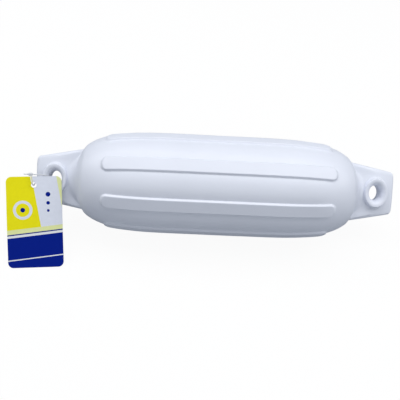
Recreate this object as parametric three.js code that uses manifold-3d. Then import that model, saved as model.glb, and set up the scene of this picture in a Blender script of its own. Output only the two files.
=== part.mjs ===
// Inflatable boat fender: one moulded vinyl bladder with eight raised ribs and a flat tab with a
// rope eye at each end, its rubber inflation valve, and the card tag that hangs on a nylon loop.
// Millimetres, +Z up, long axis along X. The fender rests on two of its ribs, so the flat of the
// tabs leans 45 degrees: one side faces up and towards -Y. The origin is on the resting surface,
// under the middle of the fender.

import * as THREE from 'three';
import { mergeVertices } from 'three/addons/utils/BufferGeometryUtils.js';
import Module from 'manifold-3d';

const wasm = await Module();
wasm.setup();

const DEG = Math.PI / 180;

// Driving dimensions of the bladder
const OVERALL_LENGTH = 406.4;
const WALL_RADIUS = 56.8;
const DOME_FROM_TIP = 36.5;
const DOME_POWER = 5.4;
const FOOT_START_FROM_TIP = 57.2;
const FOOT_END_FROM_TIP = 33.2;
const FOOT_RADIUS = 5;
const FOOT_END_SLOPE = -0.35;

// Ribs
const RIB_COUNT = 8;
const RIB_HEIGHT = 2.5;
const RIB_END_FROM_TIP = 77.7;
const RIB_CREST_WIDTH = 13.4;
const RIB_DRAFT = 1.6;
const RIB_CORNER_RADIUS = 6;

// Tabs
const TAB_THICKNESS = 14;
const TAB_TIP_WIDTH = 47.6;
const TAB_ROOT_WIDTH = 69.6;
const TAB_ROOT_FROM_TIP = 53.2;
const TAB_EMBEDMENT = 30;
const TAB_CORNER_RADIUS = 4;
const TAB_EDGE_ROUNDING = 3;
const TAB_LEAN = 45;

// Eyes: an oval ring, wider across the tab than along it
const EYE_FROM_TIP = 21.2;
const EYE_THROAT_LENGTH = 15.6;
const EYE_THROAT_WIDTH = 18.8;
const RING_CREST_LENGTH = 21.3;
const RING_CREST_WIDTH = 27.9;
const RING_OUTER_SPREAD = 1.19;
const RING_THICKNESS = 24;

// Inflation valve, in a well in the panel opposite the one that faces up
const VALVE_AT = 96;
const VALVE_WELL_RADIUS = 7;
const VALVE_WELL_DEPTH = 2.6;
const VALVE_FLANGE_RADIUS = 5.6;
const VALVE_FLANGE_THICKNESS = 1.6;
const VALVE_STEM_RADIUS = 3.4;
const VALVE_STEM_LENGTH = 9;
const NEEDLE_HOLE_RADIUS = 0.6;
const NEEDLE_HOLE_DEPTH = 6;
const SEAT_GAP = 0.3;

// Tag
const CARD_WIDTH = 60;
const CARD_LENGTH = 101;
const CARD_THICKNESS = 0.5;
const CARD_CORNER_RADIUS = 6;
const CARD_HOLE_RADIUS = 3;
const CARD_HOLE_FROM_TOP = 9.5;
const CARD_TOP_ABOVE_EYE = 1.2;
const CARD_HOLE_FROM_EYE = 21.9;
const CARD_YAW = 5;
const CARD_FLOOR_GAP = 0.3;
const CARD_SEAT_ROUNDS = 6;

// Loop and its lock
const STRAND_DIAMETER = 1.2;
const STRAND_SIDES = 8;
const STRAND_STEPS = 44;
const LOCK_RADIUS = 1.7;
const LOCK_LENGTH = 4.4;
const LOCK_TAIL_LENGTH = 6;
const LOCK_TAIL_RADIUS = 0.5;

// Smoothness of the round forms
const DOME_STEPS = 8;
const FOOT_STEPS = 6;
const CORNER_STEPS = 3;
const CLOSEST_STATIONS = 0.6;
const RING_SEGMENTS = 32;
const RING_PROFILE_STEPS = 8;
const SMALL_ROUND_SEGMENTS = 24;

// Sizes that follow
const HALF_LENGTH = OVERALL_LENGTH / 2;
const DOME_REACH = HALF_LENGTH - DOME_FROM_TIP;
const FOOT_START = HALF_LENGTH - FOOT_START_FROM_TIP;
const FOOT_END = HALF_LENGTH - FOOT_END_FROM_TIP;
const RIB_FOOT_END = HALF_LENGTH - RIB_END_FROM_TIP;
const RIB_CREST_END = RIB_FOOT_END - RIB_DRAFT;
const EYE_X = HALF_LENGTH - EYE_FROM_TIP;
const THROAT_X = EYE_THROAT_LENGTH / 2;
const THROAT_V = EYE_THROAT_WIDTH / 2;
const CREST_X = RING_CREST_LENGTH / 2;
const CREST_V = RING_CREST_WIDTH / 2;
const RING_HALF = RING_THICKNESS / 2;
const TAB_ROOT_AT = HALF_LENGTH - TAB_ROOT_FROM_TIP;
const TAB_HALF = TAB_THICKNESS / 2;

const vinyl = new THREE.MeshStandardMaterial({ color: 0xedf0f7, roughness: 0.38, metalness: 0 });
const rubber = new THREE.MeshStandardMaterial({ color: 0x2b2c2e, roughness: 0.7, metalness: 0 });
const card = new THREE.MeshStandardMaterial({ color: 0xe0d619, roughness: 0.5, metalness: 0 });
const nylon = new THREE.MeshStandardMaterial({ color: 0xe3e6ea, roughness: 0.3, metalness: 0 });
nylon.transparent = true;
nylon.opacity = 0.8;

// A closed geometry becomes a solid that can be joined and cut
function solid(geometry, matrix = new THREE.Matrix4()) {
  const source = geometry.clone().applyMatrix4(matrix);
  source.deleteAttribute('normal');
  source.deleteAttribute('uv');
  const merged = mergeVertices(source, 1e-4);
  return new wasm.Manifold(new wasm.Mesh({
    numProp: 3,
    vertProperties: new Float32Array(merged.attributes.position.array),
    triVerts: new Uint32Array(merged.index.array),
  }));
}

function geometryOf(manifold) {
  const mesh = manifold.getMesh();
  const geometry = new THREE.BufferGeometry();
  geometry.setAttribute('position', new THREE.BufferAttribute(mesh.vertProperties, 3));
  geometry.setIndex(new THREE.BufferAttribute(mesh.triVerts, 1));
  geometry.computeVertexNormals();
  return geometry;
}

function mesh(name, geometry, material) {
  const piece = new THREE.Mesh(geometry, material);
  piece.name = name;
  return piece;
}

// Outline of a rectangle with round corners, its middle at the origin
function roundedRectangle(length, width, radius) {
  const x = length / 2;
  const y = width / 2;
  const outline = new THREE.Shape();
  outline.moveTo(x, y - radius);
  outline.absarc(x - radius, y - radius, radius, 0, 90 * DEG);
  outline.absarc(radius - x, y - radius, radius, 90 * DEG, 180 * DEG);
  outline.absarc(radius - x, radius - y, radius, 180 * DEG, 270 * DEG);
  outline.absarc(x - radius, radius - y, radius, 270 * DEG, 360 * DEG);
  return outline;
}

// The bladder's radius falls away from the middle, gently at first and then into the dome
function domeRadius(x) {
  return WALL_RADIUS * Math.sqrt(1 - (x / DOME_REACH) ** DOME_POWER);
}

function domeSlope(x) {
  const step = 0.01;
  return (domeRadius(x + step) - domeRadius(x - step)) / (2 * step);
}

// The dome's foot runs out onto the flat of the tab in a hollow curve
function footRadius(x) {
  const span = FOOT_END - FOOT_START;
  const t = (x - FOOT_START) / span;
  const startWeight = 2 * t ** 3 - 3 * t ** 2 + 1;
  const startSlopeWeight = t ** 3 - 2 * t ** 2 + t;
  const endWeight = 3 * t ** 2 - 2 * t ** 3;
  const endSlopeWeight = t ** 3 - t ** 2;
  return startWeight * domeRadius(FOOT_START) + startSlopeWeight * span * domeSlope(FOOT_START)
    + endWeight * FOOT_RADIUS + endSlopeWeight * span * FOOT_END_SLOPE;
}

// Half the width of a rib's outline at a place along it, where its corners are round
function ribHalfWidth(x, end, half, corner) {
  const intoCorner = Math.min(Math.max(corner - (end - x), 0), corner);
  return half - corner + Math.sqrt(corner ** 2 - intoCorner ** 2);
}

// Where the bladder's outline has a point, from near the middle to the tip of the foot: closer
// where it bends more, and at the corners and the ends of the ribs
function stations() {
  const places = [RIB_CREST_END, RIB_FOOT_END, FOOT_END];
  for (let i = 1; i <= DOME_STEPS; i += 1) {
    places.push(FOOT_START * Math.sqrt(i / DOME_STEPS));
  }
  for (let i = 1; i < FOOT_STEPS; i += 1) {
    places.push(FOOT_START + ((FOOT_END - FOOT_START) * i) / FOOT_STEPS);
  }
  for (let i = 1; i <= CORNER_STEPS; i += 1) {
    const turn = (i * 90 * DEG) / CORNER_STEPS;
    places.push(RIB_CREST_END - RIB_CORNER_RADIUS * (1 - Math.cos(turn)));
  }
  places.sort((first, second) => first - second);
  return places.filter((x, i) => i === 0 || x - places[i - 1] > CLOSEST_STATIONS);
}

function wallRadius(x) {
  return x > FOOT_START ? footRadius(x) : domeRadius(x);
}

// One pitch of the ribs has eight columns of vertices. They are given as the turn from the
// middle of the rib and as how far each stands out from the wall.
function ribColumns(x) {
  const onCrest = x <= RIB_CREST_END + CLOSEST_STATIONS;
  const onFoot = x <= RIB_FOOT_END + CLOSEST_STATIONS;
  const place = onFoot ? x : 0;
  const radius = onFoot ? wallRadius(x) : WALL_RADIUS;
  const crestHalf = ribHalfWidth(place, RIB_CREST_END, RIB_CREST_WIDTH / 2, RIB_CORNER_RADIUS);
  const footHalf = ribHalfWidth(
    place,
    RIB_FOOT_END,
    RIB_CREST_WIDTH / 2 + RIB_DRAFT,
    RIB_CORNER_RADIUS + RIB_DRAFT,
  );
  const raise = onCrest ? RIB_HEIGHT : 0;
  const crest = Math.asin(crestHalf / (radius + raise));
  const foot = Math.asin(footHalf / radius);
  const gapMiddle = Math.PI / RIB_COUNT;
  return [
    { turn: -gapMiddle, raise: 0 },
    { turn: -(gapMiddle + foot) / 2, raise: 0 },
    { turn: -foot, raise: 0 },
    { turn: -crest, raise },
    { turn: 0, raise },
    { turn: crest, raise },
    { turn: foot, raise: 0 },
    { turn: (gapMiddle + foot) / 2, raise: 0 },
  ];
}

// The bladder is turned about the long axis, and its vertices are then drawn out into ribs
function bladder() {
  const upper = stations().map((x) => new THREE.Vector2(wallRadius(x), x));
  upper.push(new THREE.Vector2(0, FOOT_END));
  const lower = upper.map((point) => new THREE.Vector2(point.x, -point.y)).reverse();
  const profile = [...lower, ...upper];
  const perRib = ribColumns(0).length;
  const segments = RIB_COUNT * perRib;
  const lathe = new THREE.LatheGeometry(profile, segments);
  for (let i = 0; i <= segments; i += 1) {
    const ribMiddle = ((Math.floor(i / perRib) + 0.5) * 2 * Math.PI) / RIB_COUNT;
    profile.forEach((point, j) => {
      const column = ribColumns(Math.abs(point.y))[i % perRib];
      const radius = point.x > 0 ? point.x + column.raise : 0;
      const angle = ribMiddle + column.turn;
      const place = [point.y, -radius * Math.sin(angle), radius * Math.cos(angle)];
      lathe.attributes.position.setXYZ(i * profile.length + j, ...place);
    });
  }
  return solid(lathe);
}

// The flat tab at the +X end, tapering to its tip, with rounded edges
function tab() {
  const taper = (TAB_ROOT_WIDTH - TAB_TIP_WIDTH) / 2 / TAB_ROOT_FROM_TIP;
  const rootX = TAB_ROOT_AT - TAB_EMBEDMENT;
  const rootHalf = TAB_TIP_WIDTH / 2 + taper * (HALF_LENGTH - rootX) - TAB_EMBEDMENT * taper * 2;
  const tipHalf = TAB_TIP_WIDTH / 2;
  const lean = Math.atan(taper);
  const centreX = HALF_LENGTH - TAB_CORNER_RADIUS;
  const centreV = tipHalf + taper * TAB_CORNER_RADIUS - TAB_CORNER_RADIUS / Math.cos(lean);
  const outline = new THREE.Shape();
  outline.moveTo(rootX, -rootHalf);
  outline.lineTo(TAB_ROOT_AT, -TAB_ROOT_WIDTH / 2);
  outline.absarc(centreX, -centreV, TAB_CORNER_RADIUS, lean - 90 * DEG, 0);
  outline.absarc(centreX, centreV, TAB_CORNER_RADIUS, 0, 90 * DEG - lean);
  outline.lineTo(TAB_ROOT_AT, TAB_ROOT_WIDTH / 2);
  outline.lineTo(rootX, rootHalf);
  outline.closePath();
  const plate = new THREE.ExtrudeGeometry(outline, {
    depth: TAB_THICKNESS - 2 * TAB_EDGE_ROUNDING,
    bevelEnabled: true,
    bevelThickness: TAB_EDGE_ROUNDING,
    bevelSize: TAB_EDGE_ROUNDING,
    bevelOffset: -TAB_EDGE_ROUNDING,
    bevelSegments: 3,
    curveSegments: 4,
  });
  plate.translate(0, 0, TAB_EDGE_ROUNDING - TAB_HALF);
  return solid(plate);
}

// A round lathe about the eye's own axis, drawn for its size across the tab, becomes oval: each
// vertex keeps its direction and takes the smaller radius that the ring has along the tab
function ovalLathe(points) {
  const lathe = new THREE.LatheGeometry(points, RING_SEGMENTS);
  lathe.rotateX(90 * DEG);
  const squeeze = (CREST_X - THROAT_X) / (CREST_V - THROAT_V);
  const position = lathe.attributes.position;
  for (let i = 0; i < position.count; i += 1) {
    const across = Math.hypot(position.getX(i), position.getY(i));
    const along = CREST_X + (across - CREST_V) * squeeze;
    position.setX(i, (position.getX(i) * along) / across);
  }
  return lathe;
}

function eyeRing() {
  const inner = CREST_V - THROAT_V;
  const outer = inner * RING_OUTER_SPREAD;
  const points = [];
  for (let i = 0; i < 2 * RING_PROFILE_STEPS; i += 1) {
    const angle = (i * 180 * DEG) / RING_PROFILE_STEPS;
    const side = Math.cos(angle) > 0 ? outer : inner;
    points.push(new THREE.Vector2(CREST_V + side * Math.cos(angle), RING_HALF * Math.sin(angle)));
  }
  points.push(points[0].clone());
  return solid(ovalLathe(points), new THREE.Matrix4().makeTranslation(EYE_X, 0, 0));
}

// What is cut from the tab inside the crest of the ring
function eyePunch() {
  const outline = new THREE.Shape();
  outline.absellipse(0, 0, CREST_X, CREST_V, 0, 360 * DEG);
  const punch = new THREE.ExtrudeGeometry(outline, {
    depth: 2 * RING_THICKNESS,
    bevelEnabled: false,
    curveSegments: RING_SEGMENTS / 2,
  });
  return solid(punch, new THREE.Matrix4().makeTranslation(EYE_X, 0, -RING_THICKNESS));
}

function endWithEye() {
  return tab().subtract(eyePunch()).add(eyeRing());
}

// Valve: the well and the bore are drawn about +Z and turned to face out of the far panel
function valvePlace() {
  const slope = Math.atan(domeSlope(VALVE_AT));
  const place = new THREE.Matrix4().makeTranslation(VALVE_AT, 0, -domeRadius(VALVE_AT));
  return place.multiply(new THREE.Matrix4().makeRotationY(180 * DEG + slope));
}

function valveWell() {
  const boreRadius = VALVE_STEM_RADIUS + SEAT_GAP;
  const boreEnd = -VALVE_WELL_DEPTH - VALVE_STEM_LENGTH - SEAT_GAP;
  const points = [
    new THREE.Vector2(0, boreEnd),
    new THREE.Vector2(boreRadius, boreEnd),
    new THREE.Vector2(boreRadius, -VALVE_WELL_DEPTH),
    new THREE.Vector2(VALVE_WELL_RADIUS - VALVE_WELL_DEPTH / 4, -VALVE_WELL_DEPTH),
    new THREE.Vector2(VALVE_WELL_RADIUS, 0),
    new THREE.Vector2(VALVE_WELL_RADIUS, VALVE_WELL_DEPTH),
    new THREE.Vector2(0, VALVE_WELL_DEPTH),
  ];
  const lathe = new THREE.LatheGeometry(points, SMALL_ROUND_SEGMENTS);
  return solid(lathe.rotateX(90 * DEG), valvePlace());
}

function valveInsert() {
  const seat = SEAT_GAP - VALVE_WELL_DEPTH;
  const top = seat + VALVE_FLANGE_THICKNESS;
  const rim = VALVE_FLANGE_THICKNESS / 2;
  const lip = NEEDLE_HOLE_RADIUS * 3;
  const points = [
    new THREE.Vector2(0, -VALVE_WELL_DEPTH - VALVE_STEM_LENGTH),
    new THREE.Vector2(VALVE_STEM_RADIUS, -VALVE_WELL_DEPTH - VALVE_STEM_LENGTH),
    new THREE.Vector2(VALVE_STEM_RADIUS, seat),
    new THREE.Vector2(VALVE_FLANGE_RADIUS, seat),
    new THREE.Vector2(VALVE_FLANGE_RADIUS, top - rim),
    new THREE.Vector2(VALVE_FLANGE_RADIUS - rim, top),
    new THREE.Vector2(lip, top),
    new THREE.Vector2(NEEDLE_HOLE_RADIUS, top - NEEDLE_HOLE_RADIUS),
    new THREE.Vector2(NEEDLE_HOLE_RADIUS, top - NEEDLE_HOLE_DEPTH),
    new THREE.Vector2(0, top - NEEDLE_HOLE_DEPTH),
  ];
  const lathe = new THREE.LatheGeometry(points, SMALL_ROUND_SEGMENTS);
  return lathe.rotateX(90 * DEG).applyMatrix4(valvePlace());
}

function fenderBody() {
  const end = endWithEye();
  const farEnd = end.rotate([0, 0, 180]);
  return geometryOf(bladder().add(end).add(farEnd).subtract(valveWell()));
}

// The fender in its own frame: X along it, Y across the flat of the tabs, Z square to them
const fender = new THREE.Group();
fender.rotation.x = TAB_LEAN * DEG;
const body = mesh('fender_body', fenderBody(), vinyl);
fender.add(body);
fender.add(mesh('valve_insert', valveInsert(), rubber));

// The fender comes to rest on two ribs: it is raised until its lowest edge meets the surface
fender.updateMatrixWorld(true);
const restHeight = -new THREE.Box3().setFromObject(body, true).min.z;
fender.position.z = restHeight;

// The left eye, where the tag hangs, in the same directions as the fender
const eye = new THREE.Group();
eye.position.x = -EYE_X;
fender.add(eye);

// The card leans on the ring, its foot on the surface in front, and faces up and towards -Y. It
// lies just clear of the half of the ring's crest that it covers. How far out its top edge then
// is and how steeply it leans follow from each other, so the two are worked out in turns.
function cardPlace() {
  const across = new THREE.Vector3(0, Math.cos(TAB_LEAN * DEG), Math.sin(TAB_LEAN * DEG));
  const out = new THREE.Vector3(0, -Math.sin(TAB_LEAN * DEG), Math.cos(TAB_LEAN * DEG));
  const eyeMiddle = new THREE.Vector3(-EYE_X, 0, restHeight);
  const crest = [];
  for (let angle = 180; angle <= 360; angle += 5) {
    const point = eyeMiddle.clone().addScaledVector(out, RING_HALF);
    point.x += CREST_X * Math.cos(angle * DEG);
    crest.push(point.addScaledVector(across, CREST_V * Math.sin(angle * DEG)));
  }
  const inPlane = eyeMiddle.clone().addScaledVector(across, CARD_TOP_ABOVE_EYE);
  inPlane.x -= CARD_HOLE_FROM_EYE;
  const topEdge = inPlane.clone().addScaledVector(out, RING_HALF);
  const turn = new THREE.Euler(0, 0, CARD_YAW * DEG, 'ZXY');
  for (let i = 0; i < CARD_SEAT_ROUNDS; i += 1) {
    turn.x = Math.asin((topEdge.z - CARD_FLOOR_GAP) / CARD_LENGTH);
    const facing = new THREE.Vector3(0, 0, 1).applyEuler(turn);
    const proud = Math.max(...crest.map((point) => point.clone().sub(inPlane).dot(facing)));
    topEdge.copy(inPlane).addScaledVector(out, (proud + SEAT_GAP) / out.dot(facing));
  }
  return { topEdge, turn };
}

function cardOutline() {
  const outline = roundedRectangle(CARD_WIDTH, CARD_LENGTH, CARD_CORNER_RADIUS);
  const hole = new THREE.Path();
  const holeY = CARD_LENGTH / 2 - CARD_HOLE_FROM_TOP;
  hole.absarc(0, holeY, CARD_HOLE_RADIUS, 0, 360 * DEG, true);
  outline.holes.push(hole);
  return outline;
}

function tagCard() {
  const plate = new THREE.ExtrudeGeometry(cardOutline(), {
    depth: CARD_THICKNESS,
    bevelEnabled: false,
    curveSegments: 8,
  });
  plate.translate(0, -CARD_LENGTH / 2, 0);
  const piece = mesh('tag_card', plate, card);
  const { topEdge, turn } = cardPlace();
  piece.rotation.copy(turn);
  piece.position.copy(topEdge);
  return piece;
}

// The loop's route from its lock, over the ring, through the eye, back behind the tab and round
// its tip, then out through the hole in the card and up to the lock again. Each point is
// measured from the middle of the eye: along X, across the tab, and out of its flat.
const STRAND_ROUTE = [
  [-22.5, 3.4, 14.6],
  [-19.0, 3.5, 14.2],
  [-15.0, 3.5, 14.1],
  [-11.2, 3.3, 13.7],
  [-8.0, 2.6, 11.4],
  [-6.7, 1.6, 6.2],
  [-6.4, 0.6, 0.0],
  [-6.8, -0.3, -6.2],
  [-8.1, -0.9, -11.4],
  [-11.2, -1.6, -13.8],
  [-15.0, -2.4, -13.5],
  [-18.9, -3.3, -11.6],
  [-21.9, -4.3, -8.4],
  [-23.1, -5.3, -4.0],
  [-23.2, -6.3, 1.0],
  [-22.9, -7.2, 6.0],
  [-22.2, -8.0, 10.6],
  [-21.5, -8.5, 14.0],
  [-21.3, -8.3, 17.0],
  [-21.6, -6.7, 19.3],
  [-22.5, -3.9, 19.8],
  [-23.6, -1.1, 18.3],
  [-24.5, 0.6, 16.2],
];

const LOCK_CENTRE = [-25.1, 3.4, 14.6];

function polygonSection(radius, sides) {
  const section = new THREE.Shape();
  for (let i = 0; i < sides; i += 1) {
    const angle = (i * 360 * DEG) / sides;
    const point = [radius * Math.cos(angle), radius * Math.sin(angle)];
    if (i === 0) section.moveTo(...point);
    else section.lineTo(...point);
  }
  section.closePath();
  return section;
}

function tagLoop() {
  const route = new THREE.CatmullRomCurve3(STRAND_ROUTE.map((point) => new THREE.Vector3(...point)));
  const strand = new THREE.ExtrudeGeometry(polygonSection(STRAND_DIAMETER / 2, STRAND_SIDES), {
    steps: STRAND_STEPS,
    extrudePath: route,
  });
  return mesh('tag_loop', strand, nylon);
}

// The lock is a small barrel with a pointed tail, turned about X
function loopLock() {
  const half = LOCK_LENGTH / 2;
  const bevel = LOCK_RADIUS / 3;
  const points = [
    new THREE.Vector2(0, -half),
    new THREE.Vector2(LOCK_RADIUS - bevel, -half),
    new THREE.Vector2(LOCK_RADIUS, bevel - half),
    new THREE.Vector2(LOCK_RADIUS, half - bevel),
    new THREE.Vector2(LOCK_RADIUS - bevel, half),
    new THREE.Vector2(LOCK_TAIL_RADIUS, half + bevel),
    new THREE.Vector2(LOCK_TAIL_RADIUS, half + LOCK_TAIL_LENGTH - bevel),
    new THREE.Vector2(0, half + LOCK_TAIL_LENGTH),
  ];
  const lathe = new THREE.LatheGeometry(points, SMALL_ROUND_SEGMENTS / 2);
  lathe.rotateZ(90 * DEG);
  const piece = mesh('loop_lock', lathe, nylon);
  piece.position.set(...LOCK_CENTRE);
  return piece;
}

eye.add(tagLoop());
eye.add(loopLock());

const boatFender = new THREE.Group();
boatFender.add(fender);
boatFender.add(tagCard());

export default boatFender;
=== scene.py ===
"""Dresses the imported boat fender: moulded vinyl skin, needle valve, card tag and its nylon loop."""

import math

import bmesh
import bpy
from bpy.props import FloatProperty, FloatVectorProperty, IntProperty, PointerProperty
from bpy.types import Operator, Panel, PropertyGroup
from mathutils import Matrix, Vector, noise


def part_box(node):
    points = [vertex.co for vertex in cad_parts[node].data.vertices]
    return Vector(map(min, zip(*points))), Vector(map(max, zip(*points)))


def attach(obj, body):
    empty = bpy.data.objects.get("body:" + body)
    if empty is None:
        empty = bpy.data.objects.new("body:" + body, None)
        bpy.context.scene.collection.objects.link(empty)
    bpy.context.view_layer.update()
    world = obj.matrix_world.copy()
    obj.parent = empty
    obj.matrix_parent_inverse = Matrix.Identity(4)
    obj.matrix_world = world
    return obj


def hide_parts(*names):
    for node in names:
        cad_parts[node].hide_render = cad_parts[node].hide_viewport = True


bl_info = {
    "name": "Boat Fender",
    "version": (1, 0, 0),
    "blender": (4, 5, 0),
    "location": "View3D > Sidebar > Fender",
    "description": "Builds the dressed boat fender over its packed frame",
    "category": "Object",
}

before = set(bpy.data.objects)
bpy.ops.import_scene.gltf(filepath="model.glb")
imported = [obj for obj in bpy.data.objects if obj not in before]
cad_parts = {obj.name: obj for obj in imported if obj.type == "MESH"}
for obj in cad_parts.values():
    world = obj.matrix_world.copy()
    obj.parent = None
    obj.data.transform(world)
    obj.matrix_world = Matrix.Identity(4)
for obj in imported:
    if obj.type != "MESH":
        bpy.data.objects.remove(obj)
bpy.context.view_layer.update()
BODY_LOW, BODY_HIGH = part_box("fender_body")
FULL_TURN = 2 * math.pi


def number(name, description, default, **kind):
    """A setting that is a plain number, or one of the given unit or subtype."""
    return FloatProperty(name=name, description=description, default=default, **kind)


def length(name, description, default):
    return number(name, description, default, unit="LENGTH", precision=5)


def angle_of(name, description, degrees):
    return number(name, description, math.radians(degrees), subtype="ANGLE")


def place_at(name, description, default):
    return FloatVectorProperty(name=name, description=description, default=default, subtype="TRANSLATION")


def colour(name, description, default):
    return FloatVectorProperty(
        name=name, description=description, default=default, size=3, min=0, max=1, subtype="COLOR"
    )


class BladderSettings(PropertyGroup):
    half_length: length("Half length", "From the middle to a tab's tip", BODY_HIGH[0])
    wall_radius: length("Wall radius", "Radius of the bladder between its ribs", 0.0568)
    dome_reach: length("Dome reach", "Where the dome's curve would meet the axis", 0.1667)
    dome_power: number("Dome power", "How square the dome's shoulder is", 5.4)
    foot_start: length("Foot start", "Where the dome begins to flow into the tab", 0.146)
    foot_end: length("Foot end", "Where the dome has sunk into the tab", 0.1635)
    foot_radius: length("Foot radius", "Radius of the dome at its foot's end", 0.007)
    foot_slope: number("Foot slope", "Slope of the dome at its foot's end", -2.2)
    vinyl: colour("Vinyl", "Colour of the moulded vinyl", (0.80, 0.825, 0.905))


class RibSettings(PropertyGroup):
    count: IntProperty(name="Ribs", description="Ribs round the bladder", default=8, min=2)
    height: length("Height", "Height of a rib's crest over the wall", 0.0025)
    crest_width: length("Crest width", "Width of a rib's flat crest", 0.0134)
    crest_end: length("Crest end", "From the middle to the end of a rib's crest", 0.1239)
    draft: length("Draft", "Width of a rib's sloping side", 0.0016)
    corner: length("Corner", "Radius of the crest's corners", 0.006)
    panel_sink: length("Panel sink", "How far a panel falls away from its middle to its ribs", 0.0014)


class TabSettings(PropertyGroup):
    thickness: length("Thickness", "Thickness of the flat tab", 0.014)
    tip_width: length("Tip width", "Width of the tab at its tip", 0.0476)
    root_width: length("Root width", "Width of the tab at its root", 0.0696)
    root_at: length("Root", "From the fender's middle to the tab's root", 0.150)
    corner: length("Corner", "Radius of the tip's corners", 0.004)
    crown: length("Crown", "Extra half thickness down the middle", 0.0003)
    crown_flat: length("Crown flat", "From the middle line to where the tab gets thinner", 0.006)
    crown_radius: length("Crown radius", "Radius of the tab's faces across it", 0.092)
    edge_rounding: length("Edge rounding", "Radius of the tab's edges", 0.003)
    root_fillet: length("Root fillet", "Reach of the fillet from the dome onto the flat", 0.024)
    edge_fillet: length("Edge fillet", "Reach of the fillet from the dome onto the tab's edges", 0.0016)


class EyeSettings(PropertyGroup):
    from_tip: length("From tip", "From the tab's tip to the middle of the eye", 0.0212)
    throat_width: length("Throat width", "Size of the hole across the tab", 0.0166)
    throat_length: length("Throat length", "Size of the hole along the tab", 0.0134)
    crest_width: length("Crest width", "Size of the ring's crest across the tab", 0.0314)
    crest_length: length("Crest length", "Size of the ring's crest along the tab", 0.0252)
    flank: length("Flank", "From the ring's crest to its outer foot, across the tab", 0.0024)
    fullness: number("Fullness", "How straight the hole's wall is", 2.6)
    ring_thickness: length("Ring thickness", "From crest to crest", 0.024)
    ring_foot: length("Ring foot", "Reach of the fillet round the ring", 0.0024)


class ValveSettings(PropertyGroup):
    at: length("Place", "From the fender's middle to the valve", 0.096)
    well_radius: length("Well radius", "Radius of the moulded well", 0.007)
    well_depth: length("Well depth", "Depth of the moulded well", 0.0026)
    flange_radius: length("Flange radius", "Radius of the rubber flange", 0.0056)
    flange_thickness: length("Flange thickness", "Thickness of the rubber flange", 0.0016)
    stem_radius: length("Stem radius", "Radius of the rubber stem", 0.0034)
    stem_length: length("Stem length", "Length of the rubber stem", 0.009)
    needle_radius: length("Needle hole", "Radius of the needle hole", 0.0006)
    seat_gap: length("Seat gap", "Clearance round the rubber", 0.0003)
    rubber: colour("Rubber", "Colour of the rubber", (0.022, 0.023, 0.025))


class TagSettings(PropertyGroup):
    width: length("Width", "Width of the card", 0.060)
    height: length("Length", "Length of the card", 0.101)
    thickness: length("Thickness", "Thickness of the card", 0.0005)
    corner: length("Corner", "Radius of the card's corners", 0.006)
    hole_radius: length("Hole radius", "Radius of the punched hole", 0.003)
    hole_from_top: length("Hole from top", "From the top edge to the hole", 0.0095)
    yellow: colour("Yellow", "First ink", (0.92, 0.84, 0.012))
    grey: colour("Grey", "Second ink", (0.80, 0.83, 0.92))
    lime: colour("Lime", "Third ink", (0.84, 0.88, 0.42))
    navy: colour("Navy", "Fourth ink", (0.0015, 0.015, 0.26))
    paper: colour("Paper", "Colour of the bare card", (0.86, 0.87, 0.88))


class LoopSettings(PropertyGroup):
    diameter: length("Diameter", "Diameter of the nylon strand", 0.0012)
    length: length("Length", "Length of the strand outside its lock", 0.094)
    lock_radius: length("Lock radius", "Radius of the lock's barrel", 0.0017)
    lock_length: length("Lock length", "Length of the lock's barrel", 0.0044)
    tail_length: length("Tail length", "Length of the lock's tail", 0.006)
    tail_radius: length("Tail radius", "Radius of the lock's tail", 0.0005)
    nylon: colour("Nylon", "Colour of the nylon", (0.86, 0.88, 0.91))


class StageSettings(PropertyGroup):
    camera_at: place_at("Camera", "Place of the camera", (-0.0398, -0.3784, 0.4729))
    heading: angle_of("Heading", "Turn from +Y towards +X", 3.35)
    dip: angle_of("Dip", "Angle below the horizon", 49.46)
    roll: angle_of("Roll", "Roll of the camera", 5.12)
    lens: number("Lens", "Focal length", 44.08, unit="CAMERA")
    sky: number("Sky", "Strength of the even light", 0.30)
    sky_tint: colour("Sky tint", "Colour of the even light", (0.80, 0.88, 1.0))
    lamp: number("Lamp", "Power of the soft lamp overhead", 34.8, unit="POWER")
    lamp_at: place_at("Lamp's place", "Place of the soft lamp overhead", (0.04, 0.2, 1.2))
    fill: number("Fill", "Power of the soft lamp in front", 5.2, unit="POWER")
    fill_at: place_at("Fill's place", "Place of the soft lamp in front", (0.0, -1.3, 0.75))
    floor_seen: colour("Floor as seen", "Colour of the floor before the camera", (0.97, 0.97, 0.97))
    floor_bounce: colour("Floor as lit", "Colour of the floor as the light meets it", (0.36, 0.38, 0.41))
    glow: number("Glow", "Share of plain white in the floor as seen", 0.94)


# The fender's own frame: X along it, Y across the flat of the tabs, Z square to them
TAB_LEAN = math.radians(45)
FENDER_MIDDLE = Matrix.Translation((0, 0, (BODY_LOW[2] + BODY_HIGH[2]) / 2))
FENDER_PLACE = FENDER_MIDDLE @ Matrix.Rotation(TAB_LEAN, 4, "X")

# Steps in a full turn of what is spun
SKIN_COLUMNS = 336
EYE_STEPS = 96
WELL_STEPS = 64
PLUG_STEPS = 72
LOCK_STEPS = 40

# From the fender's middle: where the columns of vertices gather on the tab's sides
GATHER_FROM, GATHER_TO = 0.150, 0.167
# From the end of the ribs' crests: where the full panels begin to even out, and have done so
EVEN_FROM, EVEN_TO = -0.03, 0.016
# How far the tab reaches into the dome, and how fast its half width falls in there
TAB_BURIED = 0.03
TAB_BURIED_TAPER = 0.8
# The least rounding that is left to the tab's edges where its tip is rounded too
LEAST_ROUNDING = 0.0004
# From the tab's middle line: where the fillet from the dome begins to narrow, and has done so
FILLET_FROM, FILLET_TO = 0.010, 0.036
# Unevenness of the moulded wall: its depth, its fineness, and from the middle where it fades out
UNEVEN_DEPTH = 0.00016
UNEVEN_FINENESS = 26
UNEVEN_FROM, UNEVEN_TO = 0.155, 0.175
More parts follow.
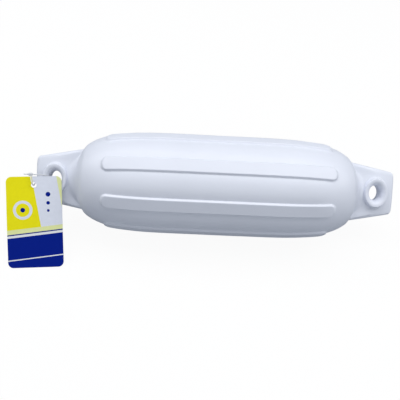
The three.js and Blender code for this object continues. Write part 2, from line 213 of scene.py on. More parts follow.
# How deep a ring's foot lies in its tab, and its flank along the tab as a share of that across it
RING_BURIED = 0.0012
FLANK_SQUEEZE = 0.75
# A boolean that leaves fewer faces than this has failed
LEAST_FACES = 1000


def mix(a, b, share):
    """What lies at the given share of the way from a to b."""
    return a + (b - a) * share


def ease(value, low, high):
    """Rises smoothly from 0 at low to 1 at high."""
    share = min(max((value - low) / (high - low), 0), 1)
    return share * share * (3 - 2 * share)


def spin_profile(bm, points, axis, steps, closed=False):
    """Spins a line of (along, out) points a full turn about the named axis through the origin."""
    if axis == "X":
        places = [(along, 0, out) for along, out in points]
        direction = (1, 0, 0)
    else:
        places = [(out, 0, along) for along, out in points]
        direction = (0, 0, 1)
    verts = [bm.verts.new(place) for place in places]
    edges = [bm.edges.new(pair) for pair in zip(verts, verts[1:])]
    if closed:
        edges.append(bm.edges.new((verts[-1], verts[0])))
    bmesh.ops.spin(
        bm, geom=verts + edges, cent=(0, 0, 0), axis=direction, angle=FULL_TURN, steps=steps, use_merge=True
    )
    bmesh.ops.remove_doubles(bm, verts=bm.verts, dist=1e-7)


def finish_piece(name, bm, materials, smooth_under=40):
    """Makes a mesh object from a bmesh that is already in place in the row frame."""
    bmesh.ops.recalc_face_normals(bm, faces=bm.faces)
    mesh = bpy.data.meshes.new(name)
    bm.to_mesh(mesh)
    bm.free()
    for material in materials:
        mesh.materials.append(material)
    mesh.shade_smooth()
    mesh.set_sharp_from_angle(angle=math.radians(smooth_under))
    piece = bpy.data.objects.new(name, mesh)
    bpy.context.scene.collection.objects.link(piece)
    return piece


def pour(part, target):
    """Moves what one bmesh holds into another."""
    carried = bpy.data.meshes.new("carried")
    part.to_mesh(carried)
    part.free()
    target.from_mesh(carried)
    bpy.data.meshes.remove(carried)


def add_node(tree, kind, settings=None, **sockets):
    """Adds a shader node, sets its properties, and fills or links the named or numbered inputs."""
    node = tree.nodes.new(kind)
    for key, value in (settings or {}).items():
        setattr(node, key, value)
    for key, value in sockets.items():
        numbered = key[0] == "i" and key[1:].isdigit()
        socket = node.inputs[int(key[1:]) if numbered else key.replace("_", " ")]
        if isinstance(value, bpy.types.NodeSocket):
            tree.links.new(value, socket)
        else:
            socket.default_value = value
    return node


def new_material(name, base, roughness):
    """Makes a material and returns it with its node tree and its shader."""
    material = bpy.data.materials.new(name)
    material.use_nodes = True
    material.diffuse_color = (*base, 1)
    shader = material.node_tree.nodes["Principled BSDF"]
    shader.inputs["Base Color"].default_value = (*base, 1)
    shader.inputs["Roughness"].default_value = roughness
    return material, material.node_tree, shader


def mix_colours(tree, factor, a, b):
    """Mixes two colours, each a triple or a socket, and returns the result's socket."""
    node = tree.nodes.new("ShaderNodeMix")
    node.data_type = "RGBA"
    for socket, value in ((node.inputs[0], factor), (node.inputs[6], a), (node.inputs[7], b)):
        if isinstance(value, bpy.types.NodeSocket):
            tree.links.new(value, socket)
        else:
            socket.default_value = value if socket == node.inputs[0] else (*value, 1)
    return node.outputs[2]


def math_node(tree, operation, *values):
    """Works on numbers or sockets, as many as the operation takes, and returns the result's socket."""
    inputs = {f"i{i}": value for i, value in enumerate(values)}
    return add_node(tree, "ShaderNodeMath", {"operation": operation}, **inputs).outputs[0]


def object_coordinates(tree):
    return tree.nodes.new("ShaderNodeTexCoord").outputs["Object"]


def add_noise(tree, place, scale, detail, roughness=0.5):
    """Adds a noise texture and returns its grey output's socket."""
    node = add_node(tree, "ShaderNodeTexNoise", Vector=place, Scale=scale, Detail=detail, Roughness=roughness)
    return node.outputs["Fac"]


def spread(tree, value, low, high):
    """Spreads a value from 0 to 1 between two others, and returns the result's socket."""
    return add_node(tree, "ShaderNodeMapRange", Value=value, To_Min=low, To_Max=high).outputs[0]


def add_bump(tree, shader, height, strength, distance):
    """Gives the shader's surface a fine relief."""
    bump = add_node(tree, "ShaderNodeBump", Height=height, Strength=strength, Distance=distance)
    tree.links.new(bump.outputs[0], shader.inputs["Normal"])


def toned(base, factor):
    """A colour made paler or deeper by a factor."""
    return tuple(min(1, factor * part) for part in base)


def seen_directly(tree):
    """A socket that is 1 for what the camera sees, through clear nylon too, and 0 for light that bounces."""
    path = tree.nodes.new("ShaderNodeLightPath")
    return math_node(tree, "MAXIMUM", path.outputs["Is Camera Ray"], path.outputs["Is Transmission Ray"])


def vinyl_material(settings):
    """Soft white moulded vinyl: slight clouding, a fine skin and the mould's parting line."""
    base = tuple(settings.vinyl)
    material, tree, shader = new_material("moulded_vinyl", base, 0.4)
    place = object_coordinates(tree)
    clouds = add_noise(tree, place, 18.0, 3.0)
    clouded = mix_colours(tree, clouds, toned(base, 1.02), toned(base, 0.955))
    tree.links.new(clouded, shader.inputs["Base Color"])
    patches = add_noise(tree, place, 45.0, 4.0, 0.6)
    tree.links.new(spread(tree, patches, 0.34, 0.46), shader.inputs["Roughness"])

    # The parting line lies in the middle plane of the tabs
    mould = add_node(tree, "ShaderNodeMapping", {"vector_type": "TEXTURE"}, Vector=place)
    mould.inputs["Location"].default_value = FENDER_PLACE.translation
    mould.inputs["Rotation"].default_value = (TAB_LEAN, 0, 0)
    off_plane = add_node(tree, "ShaderNodeSeparateXYZ", Vector=mould.outputs[0]).outputs["Z"]
    ridge = add_node(
        tree,
        "ShaderNodeMapRange",
        {"interpolation_type": "SMOOTHSTEP"},
        Value=math_node(tree, "ABSOLUTE", off_plane),
        From_Min=0.0002,
        From_Max=0.0006,
        To_Min=1.0,
        To_Max=0.0,
    )
    line = add_node(tree, "ShaderNodeBump", Height=ridge.outputs[0], Strength=0.7, Distance=0.0002)
    tree.links.new(line.outputs[0], shader.inputs["Normal"])

    grain = add_noise(tree, place, 1500.0, 2.0)
    ripple = add_noise(tree, place, 95.0, 2.0, 0.45)
    skin = math_node(tree, "MULTIPLY_ADD", grain, 0.12, ripple)
    fine = add_node(tree, "ShaderNodeBump", Height=skin, Strength=0.35, Distance=0.0003)
    tree.links.new(fine.outputs[0], line.inputs["Normal"])
    return material


def rubber_material(settings):
    """Matt black rubber with a dusty bloom."""
    base = tuple(settings.rubber)
    material, tree, shader = new_material("valve_rubber_black", base, 0.68)
    place = object_coordinates(tree)
    bloom = add_noise(tree, place, 420.0, 4.0, 0.6)
    tree.links.new(mix_colours(tree, bloom, base, toned(base, 2.2)), shader.inputs["Base Color"])
    add_bump(tree, shader, add_noise(tree, place, 3200.0, 2.0), 0.3, 0.0001)
    return material


def paper_material(settings):
    """Bare card: the back and the cut edges, with a fibrous grain."""
    base = tuple(settings.paper)
    material, tree, shader = new_material("bare_card", base, 0.75)
    place = object_coordinates(tree)
    fibres = add_noise(tree, place, 900.0, 6.0, 0.7)
    tree.links.new(mix_colours(tree, fibres, base, toned(base, 0.9)), shader.inputs["Base Color"])
    add_bump(tree, shader, fibres, 0.25, 0.0001)
    return material


def print_material(settings):
    """The card's printed face: flat inks laid out in slanting fields, in millimetres on its UV map."""
    yellow, grey, navy = tuple(settings.yellow), tuple(settings.grey), tuple(settings.navy)
    lime, pale = tuple(settings.lime), tuple(settings.paper)
    material, tree, shader = new_material("printed_inks", yellow, 0.42)
    flat = tree.nodes.new("ShaderNodeUVMap")
    flat.uv_map = "print"
    scaled = add_node(tree, "ShaderNodeVectorMath", {"operation": "MULTIPLY"}, i0=flat.outputs[0])
    scaled.inputs[1].default_value = (1000 * settings.width, 1000 * settings.height, 0)
    parts = add_node(tree, "ShaderNodeSeparateXYZ", Vector=scaled.outputs[0])
    across, up = parts.outputs["X"], parts.outputs["Y"]

    def disc(x, y, radius):
        gap = add_node(tree, "ShaderNodeVectorMath", {"operation": "DISTANCE"}, i0=scaled.outputs[0])
        gap.inputs[1].default_value = (x, y, 0)
        return math_node(tree, "LESS_THAN", gap.outputs["Value"], radius)

    # The right-hand panel, then its edge stripe
    leaning = math_node(tree, "MULTIPLY_ADD", up, 0.16, across)
    ink = yellow
    for limit, colour_now in ((44.0, grey), (70.5, lime)):
        ink = mix_colours(tree, math_node(tree, "GREATER_THAN", leaning, limit), ink, colour_now)
    # A target on the yellow field and three dots down the panel
    for x, y, radius, colour_now in (
        (17.5, 64.0, 10.5, grey),
        (17.5, 64.0, 7.4, yellow),
        (17.5, 64.0, 2.6, navy),
        (45.0, 81.0, 2.6, navy),
        (45.0, 71.5, 2.0, navy),
        (45.0, 63.0, 1.5, navy),
    ):
        ink = mix_colours(tree, disc(x, y, radius), ink, colour_now)
    # The rising bands and the dark field at the foot
    rising = math_node(tree, "MULTIPLY_ADD", across, -0.1, up)
    for limit, colour_now in (
        (41.5, lime),
        (36.5, navy),
        (35.2, pale),
        (32.6, navy),
        (8.4, pale),
        (7.2, navy),
    ):
        ink = mix_colours(tree, math_node(tree, "LESS_THAN", rising, limit), ink, colour_now)

    place = object_coordinates(tree)
    mottle = spread(tree, add_noise(tree, place, 260.0, 4.0, 0.6), 0.93, 1.03)
    mottled = add_node(tree, "ShaderNodeVectorMath", {"operation": "SCALE"}, i0=ink, Scale=mottle)
    tree.links.new(mottled.outputs[0], shader.inputs["Base Color"])
    add_bump(tree, shader, add_noise(tree, place, 130.0, 3.0), 0.12, 0.0003)
    shader.inputs["Specular IOR Level"].default_value = 0.05
    return material


def nylon_material(settings):
    """Milky clear nylon."""
    base = tuple(settings.nylon)
    material, tree, shader = new_material("milky_nylon", base, 0.28)
    place = object_coordinates(tree)
    streaks = add_noise(tree, place, 500.0, 3.0)
    tree.links.new(mix_colours(tree, streaks, base, toned(base, 0.86)), shader.inputs["Base Color"])
    tree.links.new(spread(tree, streaks, 0.22, 0.4), shader.inputs["Roughness"])
    shader.inputs["Transmission Weight"].default_value = 0.2
    shader.inputs["IOR"].default_value = 1.53
    return material


def bladder_radius(settings, x):
    """Radius of the bladder's wall at a distance from the middle; past its foot it falls away straight."""
    if x <= settings.foot_start:
        return settings.wall_radius * math.sqrt(1 - (x / settings.dome_reach) ** settings.dome_power)
    if x >= settings.foot_end:
        return settings.foot_radius + settings.foot_slope * (x - settings.foot_end)
    start = bladder_radius(settings, settings.foot_start)
    share = (settings.foot_start / settings.dome_reach) ** settings.dome_power
    slope = -settings.wall_radius**2 * settings.dome_power * share / (2 * start * settings.foot_start)
    span = settings.foot_end - settings.foot_start
    t = (x - settings.foot_start) / span
    return (
        (2 * t**3 - 3 * t**2 + 1) * start
        + (t**3 - 2 * t**2 + t) * span * slope
        + (3 * t**2 - 2 * t**3) * settings.foot_radius
        + (t**3 - t**2) * span * settings.foot_slope
    )


def rib_rise(ribs, x, angle, radius):
    """How far a rib lifts the wall: full inside its rounded outline, fading over its draft."""
    pitch = FULL_TURN / ribs.count
    off = abs(angle % pitch - pitch / 2) * radius
    out_x = x - (ribs.crest_end - ribs.corner)
    out_y = off - (ribs.crest_width / 2 - ribs.corner)
    past = math.hypot(max(out_x, 0), max(out_y, 0)) + min(max(out_x, out_y), 0) - ribs.corner
    soft = 0.0004
    return ribs.height * (1 - ease(past, -soft, ribs.draft + soft))


def panel_sink(ribs, x, angle, radius):
    """How far the wall lies inside its circle: the panels are fuller than it and the crests are flat."""
    half_pitch = math.pi / ribs.count
    off = abs(angle % (2 * half_pitch) - half_pitch)
    crest = ribs.crest_width / 2 / radius
    from_middle = (half_pitch - max(off, crest)) / (half_pitch - crest)
    sink = ribs.panel_sink * from_middle**2 + radius * max(crest**2 - off**2, 0) / 2
    return sink * (1 - ease(x, ribs.crest_end + EVEN_FROM, ribs.crest_end + EVEN_TO))


def tab_half_thickness(tab, off_middle):
    """Half the tab's thickness: even down its middle, thinner towards its edges."""
    past_flat = max(off_middle - tab.crown_flat, 0)
    return tab.thickness / 2 + tab.crown - past_flat**2 / (2 * tab.crown_radius)


def tab_reach(tab, half_length, x, angle):
    """Distance from the axis to the tab's skin in the direction of angle, from its flat's normal."""
    if x < tab.root_at - TAB_BURIED:
        return 0
    taper = (tab.root_width - tab.tip_width) / 2 / (half_length - tab.root_at)
    wide = tab.tip_width / 2 + taper * (half_length - max(x, tab.root_at))
    wide -= max(tab.root_at - x, 0) * TAB_BURIED_TAPER
    to_tip = half_length - x
    if to_tip < tab.corner:
        wide -= tab.corner - math.sqrt(max(tab.corner**2 - (tab.corner - to_tip) ** 2, 0))
    edge, sunk = tab.edge_rounding, 0
    if to_tip < edge:
        sunk = edge - math.sqrt(max(edge**2 - (edge - to_tip) ** 2, 0))
        wide, edge = wide - sunk, max(edge - sunk, LEAST_ROUNDING)
    up, over = abs(math.cos(angle)), abs(math.sin(angle))
    thick = tab.thickness / 2
    # The thickness depends on the place that it leads to, so it is found in a few rounds
    for _ in range(4):
        off_middle = min(thick * over / max(up, 1e-9), wide - edge)
        thick = tab_half_thickness(tab, off_middle) - sunk
    if up > 1e-9 and thick * over / up <= wide - edge:
        return thick / up
    if over > 1e-9 and wide * up / over <= thick - edge:
        return wide / over
    along = (wide - edge) * over + (thick - edge) * up
    return along + math.sqrt(max(along**2 - (wide - edge) ** 2 - (thick - edge) ** 2 + edge**2, 0))


def flow_together(a, b, blend):
    """The larger of two reaches, with a fillet where they are close."""
    near = max(blend - abs(a - b), 0) / blend
    return max(a, b) + near * near * blend / 4


def spread_angles(density, count):
    """Angles round a full turn, spaced closer where density is higher, with one at zero."""
    fine = 7200
    running = [0.0]
    for i in range(fine):
        running.append(running[-1] + density((i + 0.5) * FULL_TURN / fine))
    angles, i = [], 0
    for column in range(count):
        wanted = running[-1] * column / count
        while running[i + 1] < wanted:
            i += 1
        share = (wanted - running[i]) / (running[i + 1] - running[i])
        angles.append((i + share) * FULL_TURN / fine)
    return angles


def skin_stations(settings, ribs):
    """Distances from the middle to the rings of vertices, closest where the shape turns."""
    half, tip = settings.half_length, 0.0042
    ribs_round, ribs_gone = ribs.crest_end - 0.011, ribs.crest_end + 0.004
    dome_gone = settings.foot_end + 0.002
    stretches = (
        (0, ribs_round, 0.005),
        (ribs_round, ribs_gone, 0.0006),
        (ribs_gone, settings.foot_start, 0.0018),
        (settings.foot_start, dome_gone, 0.0009),
        (dome_gone, half - tip, 0.0022),
    )
    places = []
    for start, end, step in stretches:
        pieces = round((end - start) / step)
        places += [mix(start, end, i / pieces) for i in range(pieces)]
    places += [half - tip * (1 - math.sin(i * math.pi / 16)) for i in range(9)]
    return places


def skin_bmesh(settings, ribs, tab):
    """One skin for the bladder, its ribs and both tabs: a spun tube whose vertices are moved out."""
    columns, half = SKIN_COLUMNS, settings.half_length
    flats = tab.thickness / 2
    sides = (tab.tip_width + tab.root_width) / 4
    pitch = FULL_TURN / ribs.count

    # Closest on the ribs' sloping sides, in degrees from their middles, and closer by the tabs' edges
    def bladder_density(angle):
        off = math.degrees(abs(angle % pitch - pitch / 2))
        to_edge = abs(math.degrees(angle) % 180 - 90)
        return 1 + (6 if 5.2 < off < 9.8 else 0) + (3 if to_edge < 16 else 0)

    # Even steps along the tab's flats and along its edges
    def tab_density(angle):
        up, over = abs(math.cos(angle)), abs(math.sin(angle))
        on_side = over * flats > up * sides
        return sides / over**2 * 1.6 if on_side else flats / up**2 + 0.004

    round_angles = spread_angles(bladder_density, columns)
    flat_angles = spread_angles(tab_density, columns)
    places = skin_stations(settings, ribs)
    tube = 0.05
    line = [(-x, tube) for x in reversed(places)] + [(x, tube) for x in places[1:]]
    bm = bmesh.new()
    spin_profile(bm, [(-half, 0)] + line + [(half, 0)], "X", columns)
    for vert in bm.verts:
        if math.hypot(vert.co.y, vert.co.z) < tube / 2:
            continue
        column = round(math.atan2(vert.co.y, vert.co.z) / FULL_TURN * columns) % columns
        x = abs(vert.co.x)
        share = ease(x, GATHER_FROM, GATHER_TO)
        angle = mix(round_angles[column], flat_angles[column], share)
        radius = bladder_radius(settings, x)
        if x < ribs.crest_end + EVEN_TO:
            radius += rib_rise(ribs, x, angle, radius) - panel_sink(ribs, x, angle, radius)
        flat = tab_reach(tab, half, x, angle)
        off_middle = max(radius, flat) * abs(math.sin(angle))
        narrowed = ease(off_middle, FILLET_FROM, FILLET_TO)
        fillet = mix(tab.root_fillet, tab.edge_fillet, narrowed)
        reach = flow_together(radius, flat, fillet)
        place = Vector((vert.co.x, reach * math.sin(angle), reach * math.cos(angle)))
        soft = 1 - ease(x, UNEVEN_FROM, UNEVEN_TO)
        reach -= soft * UNEVEN_DEPTH * (0.5 + 0.5 * noise.noise(place * UNEVEN_FINENESS))
        vert.co = (vert.co.x, reach * math.sin(angle), reach * math.cos(angle))
    return bm


def ring_profile(eye, tab):
    """Section of the ring as (height, distance) points: round crest, fillet into the tab's flat."""
    crest, rise, outer = eye.crest_width / 2, eye.ring_thickness / 2, eye.flank
    inner = crest - eye.throat_width / 2
    leave = math.asin(min((tab.thickness / 2 + eye.ring_foot) / rise, 1))
    start = Vector((rise * math.sin(leave), crest + outer * math.cos(leave)))
    sunk = tab.thickness / 2 - RING_BURIED
    slope = outer / rise * math.tan(leave)
    knee = Vector((sunk, start[1] + slope * (start[0] - sunk)))
    end = Vector((sunk, knee[1] + eye.ring_foot))
    fillet = [
        start * (1 - t) ** 2 + knee * 2 * t * (1 - t) + end * t**2 for t in (i / 7 for i in range(7, -1, -1))
    ]
    upper = [tuple(point) for point in fillet]
    for i in range(1, 9):
        angle = mix(leave, math.pi / 2, i / 8)
        upper.append((rise * math.sin(angle), crest + outer * math.cos(angle)))
    for i in range(1, 19):
        angle = i * math.pi / 36
        along, down = math.sin(angle) ** (2 / eye.fullness), math.cos(angle) ** (2 / eye.fullness)
        upper.append((rise * down if i < 18 else 0, crest - inner * along))
    return upper + [(-height, out) for height, out in reversed(upper[:-1])]


def oval_out(bm, eye):
    """Turns what was spun round for the eye's width into its oval, narrower along the tab."""
    squeeze = (eye.crest_length - eye.throat_length) / (eye.crest_width - eye.throat_width)
    for vert in bm.verts:
        across = math.hypot(vert.co.x, vert.co.y)
        if across > 1e-6:
            past = across - eye.crest_width / 2
            along = eye.crest_length / 2 + past * (squeeze if past < 0 else FLANK_SQUEEZE)
            vert.co.x *= along / across


def joined_at_both_ends(make, eye, half_length):
    """A bmesh that holds what make() gives, placed at both eyes in the row frame."""
    both = bmesh.new()
    for side in (-1, 1):
        part = make()
        middle = side * (half_length - eye.from_tip)
        part.transform(FENDER_PLACE @ Matrix.Translation((middle, 0, 0)))
        pour(part, both)
    return both


def valve_place(settings, valve):
    """Frame of the valve: its middle on the wall of the panel that faces away, +Z out of it."""
    step = 1e-4
    low, high = bladder_radius(settings, valve.at - step), bladder_radius(settings, valve.at + step)
    slope = math.atan((high - low) / (2 * step))
    place = Matrix.Translation((valve.at, 0, -bladder_radius(settings, valve.at)))
    return FENDER_PLACE @ place @ Matrix.Rotation(math.pi + slope, 4, "Y")


def well_profile(valve):
    """Section of the well that is cut for the valve, with a rounded mouth."""
    bore = valve.stem_radius + valve.seat_gap
    depth, mouth, corner, clear = valve.well_depth, 0.0012, 0.0004, 0.003
    bottom = -depth - valve.stem_length - valve.seat_gap
    foot = valve.well_radius - depth / 4
    points = [(bottom, 0), (bottom, bore), (-depth, bore), (-depth, foot - corner), (-depth + corner, foot)]
    for i in range(7):
        angle = i * math.pi / 12
        out = valve.well_radius + mouth * (1 - math.cos(angle)) - mouth / 2
        points.append((mouth * (math.sin(angle) - 1), out))
    points += [(clear, valve.well_radius + mouth), (clear, 0)]
    return points


def apply_boolean(piece, operation, bm):
    """Joins or cuts the piece with a closed bmesh, and applies the result to its mesh."""
    bmesh.ops.recalc_face_normals(bm, faces=bm.faces)
    tool_mesh = bpy.data.meshes.new("tool")
    bm.to_mesh(tool_mesh)
    bm.free()
    tool = bpy.data.objects.new("tool", tool_mesh)
    bpy.context.scene.collection.objects.link(tool)
    modifier = piece.modifiers.new("shape", "BOOLEAN")
    modifier.operation = operation
    modifier.solver = "EXACT"
    modifier.object = tool
    bpy.context.view_layer.update()
    shaped = bpy.data.meshes.new_from_object(piece.evaluated_get(bpy.context.evaluated_depsgraph_get()))
    piece.modifiers.clear()
    if len(shaped.polygons) < LEAST_FACES:
        raise RuntimeError(f"{operation} left almost nothing of {piece.name}")
    old = piece.data
    piece.data = shaped
    bpy.data.meshes.remove(old)
    bpy.data.objects.remove(tool)
    bpy.data.meshes.remove(tool_mesh)


class FENDER_OT_build_skin(Operator):
    """Build the moulded vinyl skin with its ribs, tabs, eye rings and valve well"""

    bl_idname = "fender.build_skin"
    bl_label = "Build Skin"

    def execute(self, context):
        scene = context.scene
        bladder, eye = scene.fender_bladder, scene.fender_eyes
        tab, valve = scene.fender_tabs, scene.fender_valve
        bm = skin_bmesh(bladder, scene.fender_ribs, tab)
        bm.transform(FENDER_PLACE)
        skin = finish_piece("fender_skin", bm, [vinyl_material(bladder)])

        def punch():
            part = bmesh.new()
            tall, wide = eye.ring_thickness, eye.crest_width / 2
            spin_profile(part, [(-tall, 0), (-tall, wide), (tall, wide), (tall, 0)], "Z", EYE_STEPS)
            oval_out(part, eye)
            return part

        def ring():
            part = bmesh.new()
            spin_profile(part, ring_profile(eye, tab), "Z", EYE_STEPS, closed=True)
            oval_out(part, eye)
            return part

        cuts = joined_at_both_ends(punch, eye, bladder.half_length)
        well = bmesh.new()
        spin_profile(well, well_profile(valve), "Z", WELL_STEPS)
        well.transform(valve_place(bladder, valve))
        pour(well, cuts)
        apply_boolean(skin, "DIFFERENCE", cuts)
        apply_boolean(skin, "UNION", joined_at_both_ends(ring, eye, bladder.half_length))
        skin.data.shade_smooth()
        skin.data.set_sharp_from_angle(angle=math.radians(42))
        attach(skin, "root")
        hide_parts("fender_body")
        return {"FINISHED"}


class FENDER_OT_build_valve(Operator):
    """Build the rubber needle valve in its well"""

    bl_idname = "fender.build_valve"
    bl_label = "Build Valve"

    def execute(self, context):
        scene = context.scene
        valve = scene.fender_valve
        seat = valve.seat_gap - valve.well_depth
        top = seat + valve.flange_thickness
        rim = valve.flange_thickness / 2
        needle = valve.needle_radius
        foot = -valve.well_depth - valve.stem_length
        foot_corner, seat_corner = 0.0004, 0.0002
        points = [
            (foot, 0),
            (foot, valve.stem_radius - foot_corner),
            (foot + foot_corner, valve.stem_radius),
            (seat, valve.stem_radius),
            (seat, valve.flange_radius - seat_corner),
            (seat + seat_corner, valve.flange_radius),
            (top - rim, valve.flange_radius),
        ]
        points += [
            (top - rim + rim * math.sin(a), valve.flange_radius - rim + rim * math.cos(a))
            for a in (i * math.pi / 16 for i in range(1, 9))
        ]
        # A shallow groove, and inside it the funnel that leads to the needle hole
        groove, hole_end = top - 0.0003, top - 0.006
        points += [
            (top, 0.0037),
            (groove, 0.0035),
            (groove, 0.0030),
            (top, 0.0028),
            (top, 3 * needle),
            (top - 0.3 * needle, 1.8 * needle),
            (top - needle, needle),
            (hole_end, needle),
            (hole_end, 0),
        ]
        bm = bmesh.new()
        spin_profile(bm, points, "Z", PLUG_STEPS)
        bm.transform(valve_place(scene.fender_bladder, valve))
        plug = finish_piece("needle_valve", bm, [rubber_material(valve)], smooth_under=35)
        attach(plug, "root")
        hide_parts("valve_insert")
        return {"FINISHED"}


# The tag's place: the middle of its top edge, its turn to the right and how far it leans back
TAG_TOP = Vector((-0.2039, -0.00915, 0.06783))
TAG_YAW = math.radians(5)
TAG_PITCH = math.radians(41.96)
# The card's bow from top to foot, how far its sides hang, and the size of its mesh's cells
TAG_BOW = 0.0009
TAG_HANG = 0.0005
TAG_CELL = 0.004


def arc(x, y, radius, start, end, steps):
    """Points along an arc round (x, y), with both ends."""
    angles = [mix(start, end, i / steps) for i in range(steps + 1)]
    return [(x + radius * math.cos(angle), y + radius * math.sin(angle)) for angle in angles]


class FENDER_OT_build_tag(Operator):
    """Build the printed card tag, punched and slightly bowed"""

    bl_idname = "fender.build_tag"
    bl_label = "Build Tag"

    def execute(self, context):
        tag = context.scene.fender_tag
        half, corner = tag.width / 2, tag.corner
        right, left, high, low = half - corner, corner - half, -corner, corner - tag.height
        outline = []
        for quarter, (x, y) in enumerate(((right, high), (left, high), (left, low), (right, low))):
            start = quarter * math.pi / 2
            outline += arc(x, y, corner, start, start + math.pi / 2, 8)
        hole = arc(0, -tag.hole_from_top, tag.hole_radius, 0, FULL_TURN, 32)[:-1]
        bm = bmesh.new()
        edges = []
        for loop in (outline, hole):
            verts = [bm.verts.new((x, y, tag.thickness)) for x, y in loop]
            edges += [bm.edges.new((verts[i - 1], verts[i])) for i in range(len(verts))]
        bmesh.ops.triangle_fill(bm, use_beauty=True, edges=edges, normal=(0, 0, 1))
        bmesh.ops.dissolve_limit(bm, angle_limit=0.01, verts=bm.verts, edges=bm.edges)
        for axis, start, span in ((0, -half, tag.width), (1, -tag.height, tag.height)):
            for i in range(1, round(span / TAG_CELL)):
                point, normal = [0, 0, 0], [0, 0, 0]
                point[axis], normal[axis] = start + i * TAG_CELL, 1
                geom = bm.verts[:] + bm.edges[:] + bm.faces[:]
                bmesh.ops.bisect_plane(bm, geom=geom, dist=1e-6, plane_co=point, plane_no=normal)
        for face in bm.faces:
            if face.normal.z < 0:
                face.normal_flip()
        grown = bmesh.ops.extrude_face_region(bm, geom=bm.faces[:], use_keep_orig=True)
        under = [item for item in grown["geom"] if isinstance(item, bmesh.types.BMVert)]
        bmesh.ops.translate(bm, verts=under, vec=(0, 0, -tag.thickness))
        sheet = bm.loops.layers.uv.new("print")
        bmesh.ops.recalc_face_normals(bm, faces=bm.faces)
        for face in bm.faces:
            face.material_index = 0 if all(v.co.z > tag.thickness * 0.9 for v in face.verts) else 1
            for corner_loop in face.loops:
                place = corner_loop.vert.co
                corner_loop[sheet].uv = (place.x / tag.width + 0.5, place.y / tag.height + 1)
        for vert in bm.verts:
            share = -vert.co.y / tag.height
            bow = math.sin(math.pi * share) * TAG_BOW - TAG_HANG * (2 * vert.co.x / tag.width) ** 2
            vert.co.z += bow * ease(share, 0, 0.3) * (1 - ease(share, 0.85, 1))
        turn = Matrix.Rotation(TAG_YAW, 4, "Z") @ Matrix.Rotation(TAG_PITCH, 4, "X")
        bm.transform(Matrix.Translation(TAG_TOP) @ turn)
        card = finish_piece("hang_tag", bm, [print_material(tag), paper_material(tag)], smooth_under=30)
        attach(card, "root")
        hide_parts("tag_card")
        return {"FINISHED"}


# The loop's route in millimetres from the middle of the left eye, in the fender's own frame
STRAND_ROUTE = (
    (-22.5, 3.4, 14.6),
    (-19.0, 3.5, 14.2),
    (-15.0, 3.5, 14.1),
    (-11.2, 3.3, 13.7),
    (-8.0, 2.6, 11.4),
    (-6.3, 1.6, 6.2),
    (-5.7, 0.6, 0.0),
    (-6.3, -0.3, -6.2),
    (-8.1, -0.9, -11.4),
    (-11.2, -1.6, -13.8),
    (-15.0, -2.4, -13.5),
    (-18.9, -3.3, -11.6),
    (-21.9, -4.3, -8.4),
    (-23.1, -5.3, -4.0),
    (-23.2, -6.3, 1.0),
    (-22.9, -7.2, 6.0),
    (-22.2, -8.0, 10.6),
    (-21.5, -8.5, 14.0),
    (-21.3, -8.3, 17.0),
    (-21.6, -6.7, 19.3),
    (-22.5, -3.9, 19.8),
    (-23.6, -1.1, 18.3),
    (-24.5, 0.6, 16.2),
)
LOCK_CENTRE = Vector((-25.1, 3.4, 14.6)) * 0.001


def left_eye_place(context):
    """Frame of the left eye, in the row frame."""
    middle = context.scene.fender_eyes.from_tip - context.scene.fender_bladder.half_length
    return FENDER_PLACE @ Matrix.Translation((middle, 0, 0))


class FENDER_OT_build_loop(Operator):
    """Build the nylon loop through the left eye and the tag, with its lock"""

    bl_idname = "fender.build_loop"
    bl_label = "Build Loop"

    def execute(self, context):
        loop = context.scene.fender_loop
        nylon = nylon_material(loop)
        half, radius, tail = loop.lock_length / 2, loop.lock_radius, loop.tail_radius
        bevel = radius / 4
        rim = 0.0003 - half
        neck, waist = 0.9 * radius, 0.0002
        points = [
            (-half, 0),
            (-half, 0.45 * radius),
            (rim, 0.5 * radius),
            (rim, radius - bevel),
            (rim + bevel, radius),
            (-2 * waist, radius),
            (-waist, neck),
            (waist, neck),
            (2 * waist, radius),
            (half - bevel, radius),
            (half, radius - bevel),
            (half + 0.0006, 1.8 * tail),
            (half + 0.0016, tail),
            (half + loop.tail_length - 0.0012, tail),
            (half + loop.tail_length, 0),
        ]
        bm = bmesh.new()
        spin_profile(bm, points, "Z", LOCK_STEPS)
        to_tail = Matrix.Rotation(-math.pi / 2, 4, "Y")
        bm.transform(left_eye_place(context) @ Matrix.Translation(LOCK_CENTRE) @ to_tail)
        lock = finish_piece("loop_barb_lock", bm, [nylon], smooth_under=35)
        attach(lock, "root")
        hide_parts("loop_lock")

        curve = bpy.data.curves.new("nylon_loop", "CURVE")
        curve.dimensions = "3D"
        curve.bevel_depth = loop.diameter / 2
        curve.bevel_resolution = 5
        curve.resolution_u = 8
        curve.use_fill_caps = True
        spline = curve.splines.new("BEZIER")
        spline.bezier_points.add(len(STRAND_ROUTE) - 1)
        for point, place in zip(spline.bezier_points, STRAND_ROUTE):
            point.co = left_eye_place(context) @ (Vector(place) * 0.001)
            point.handle_left_type = point.handle_right_type = "AUTO"
        curve.materials.append(nylon)
        strand = bpy.data.objects.new("nylon_loop", curve)
        context.scene.collection.objects.link(strand)
        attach(strand, "root")
        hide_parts("tag_loop")
        return {"FINISHED"}


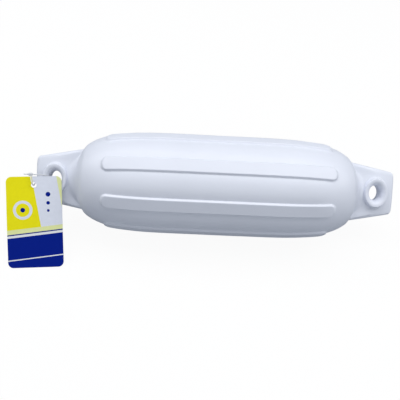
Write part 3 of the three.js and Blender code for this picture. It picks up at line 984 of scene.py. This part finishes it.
class FENDER_OT_set_stage(Operator):
    """Place the camera, the pale floor and the soft lights"""

    bl_idname = "fender.set_stage"
    bl_label = "Set Stage"

    def execute(self, context):
        scene, stage = context.scene, context.scene.fender_stage
        east, north, level = math.sin(stage.heading), math.cos(stage.heading), math.cos(stage.dip)
        ahead = Vector((east * level, north * level, -math.sin(stage.dip)))
        right = Vector((north, -east, 0))
        top = right.cross(ahead)
        turned_right = right * math.cos(stage.roll) + top * math.sin(stage.roll)
        turned_top = top * math.cos(stage.roll) - right * math.sin(stage.roll)
        look = Matrix((turned_right, turned_top, -ahead)).transposed().to_4x4()
        lens = bpy.data.cameras.new("photo_camera")
        lens.lens = stage.lens
        lens.sensor_width = 36
        lens.clip_start = 0.01
        lens.clip_end = 50
        camera = bpy.data.objects.new("photo_camera", lens)
        camera.matrix_world = Matrix.Translation(Vector(stage.camera_at)) @ look
        scene.collection.objects.link(camera)
        scene.camera = camera

        bm = bmesh.new()
        bmesh.ops.create_grid(bm, x_segments=2, y_segments=2, size=12)
        floor_look = bpy.data.materials.new("pale_floor")
        floor_look.use_nodes = True
        tree = floor_look.node_tree
        tree.nodes.clear()
        seen = seen_directly(tree)
        tone = mix_colours(tree, seen, tuple(stage.floor_bounce), tuple(stage.floor_seen))
        plain = add_node(tree, "ShaderNodeBsdfDiffuse", Color=tone)
        white = add_node(tree, "ShaderNodeEmission", Color=(1, 1, 1, 1), Strength=1.0)
        share = math_node(tree, "MULTIPLY", seen, stage.glow)
        both = tree.nodes.new("ShaderNodeMixShader")
        tree.links.new(share, both.inputs[0])
        tree.links.new(plain.outputs[0], both.inputs[1])
        tree.links.new(white.outputs[0], both.inputs[2])
        tree.links.new(both.outputs[0], tree.nodes.new("ShaderNodeOutputMaterial").inputs[0])
        floor = finish_piece("studio_floor", bm, [floor_look])

        world = bpy.data.worlds.new("studio")
        world.use_nodes = True
        scene.world = world
        tree = world.node_tree
        backdrop = tree.nodes["Background"]
        dim = tuple(stage.sky * part for part in stage.sky_tint)
        sky = mix_colours(tree, seen_directly(tree), dim, (1, 1, 1))
        tree.links.new(sky, backdrop.inputs["Color"])

        aim_at = Vector((0, 0, 0.06))
        for name, power, size, place in (
            ("overhead_lamp", stage.lamp, (6.0, 0.7), Vector(stage.lamp_at)),
            ("front_lamp", stage.fill, (4.0, 0.8), Vector(stage.fill_at)),
        ):
            lamp = bpy.data.lights.new(name, "AREA")
            lamp.shape = "RECTANGLE"
            lamp.size, lamp.size_y = size
            lamp.energy = power
            lit = bpy.data.objects.new(name, lamp)
            aim = (aim_at - place).to_track_quat("-Z", "Y")
            lit.matrix_world = Matrix.Translation(place) @ aim.to_matrix().to_4x4()
            scene.collection.objects.link(lit)

        scene.view_settings.view_transform = "Standard"
        return {"FINISHED"}


class FENDER_PT_sidebar(Panel):
    """The fender's tools in the sidebar"""

    bl_idname = "FENDER_PT_sidebar"
    bl_label = "Boat Fender"
    bl_space_type = "VIEW_3D"
    bl_region_type = "UI"
    bl_category = "Fender"

    def draw(self, context):
        for operator in OPERATORS:
            self.layout.operator(operator.bl_idname)


SETTINGS = {
    "fender_bladder": BladderSettings,
    "fender_ribs": RibSettings,
    "fender_tabs": TabSettings,
    "fender_eyes": EyeSettings,
    "fender_valve": ValveSettings,
    "fender_tag": TagSettings,
    "fender_loop": LoopSettings,
    "fender_stage": StageSettings,
}
OPERATORS = (
    FENDER_OT_set_stage,
    FENDER_OT_build_tag,
    FENDER_OT_build_loop,
    FENDER_OT_build_skin,
    FENDER_OT_build_valve,
)


def register():
    for name, settings in SETTINGS.items():
        bpy.utils.register_class(settings)
        setattr(bpy.types.Scene, name, PointerProperty(type=settings))
    for operator in OPERATORS:
        bpy.utils.register_class(operator)
    bpy.utils.register_class(FENDER_PT_sidebar)


def unregister():
    bpy.utils.unregister_class(FENDER_PT_sidebar)
    for operator in reversed(OPERATORS):
        bpy.utils.unregister_class(operator)
    for name, settings in reversed(SETTINGS.items()):
        delattr(bpy.types.Scene, name)
        bpy.utils.unregister_class(settings)


def main():
    register()
    bpy.ops.fender.set_stage()
    bpy.ops.fender.build_tag()
    bpy.ops.fender.build_loop()
    bpy.ops.fender.build_skin()
    bpy.ops.fender.build_valve()


if __name__ == "__main__":
    main()
